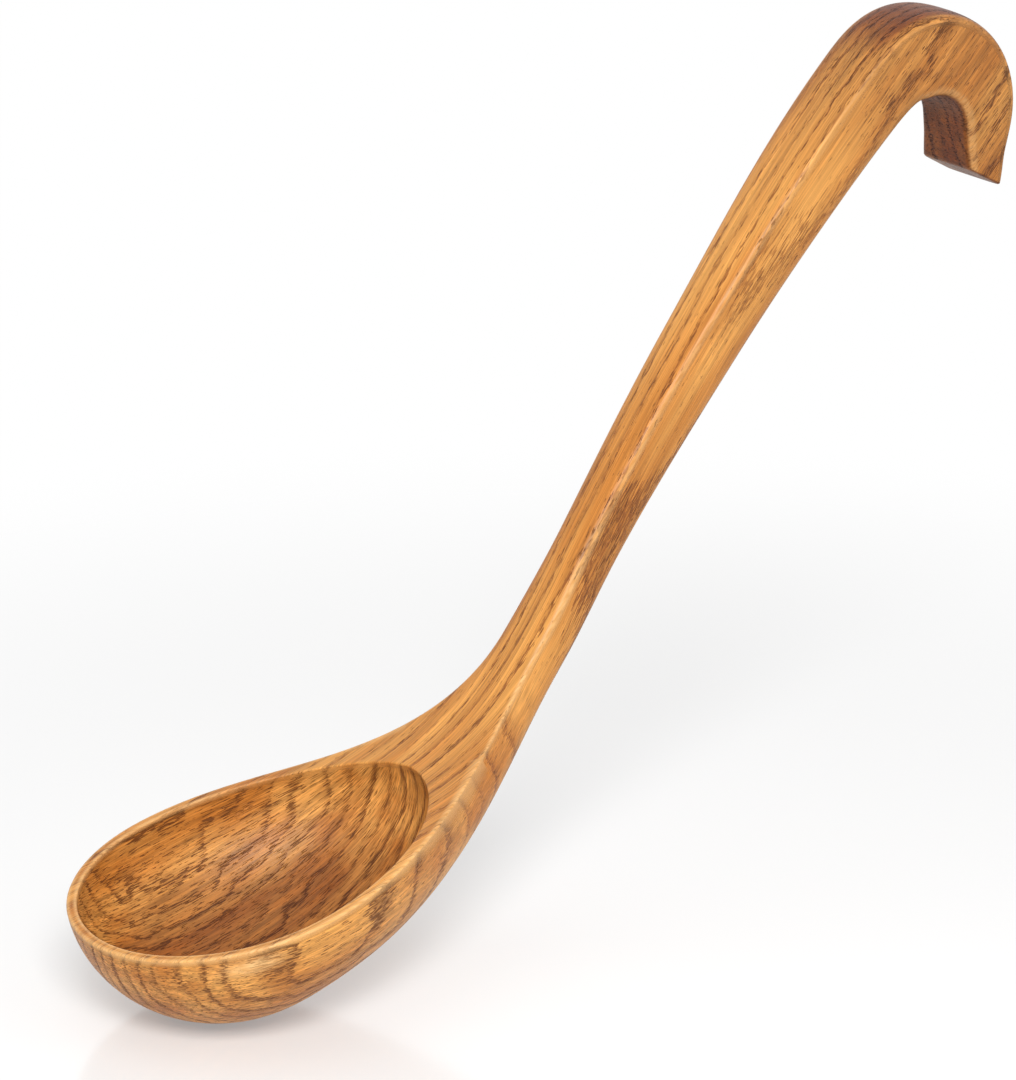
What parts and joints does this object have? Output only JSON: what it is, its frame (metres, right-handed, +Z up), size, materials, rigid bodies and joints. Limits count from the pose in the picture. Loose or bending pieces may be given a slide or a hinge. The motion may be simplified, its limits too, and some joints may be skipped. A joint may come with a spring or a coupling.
{
  "type": "soup ladle",
  "caption": "Deep round-bowled wooden soup ladle carved from one plank, with a rising slim handle that ends in a hook for hanging it.",
  "frame": {"origin": "middle of the ladle's length and width, on the table under the lowest point of the bowl", "axes": "+X from the bowl towards the hook, +Z up, +Y across the ladle to its left side; the ladle is the same on both sides of Y = 0"},
  "size_m": [0.3, 0.0874, 0.2338],
  "materials": {
    "teak": "oiled teak, sanded smooth, semi-matte"
  },
  "bodies": {
    "root": {"bowl": "teak", "handle": "teak", "hook": "teak"}
  },
  "joints": []
}
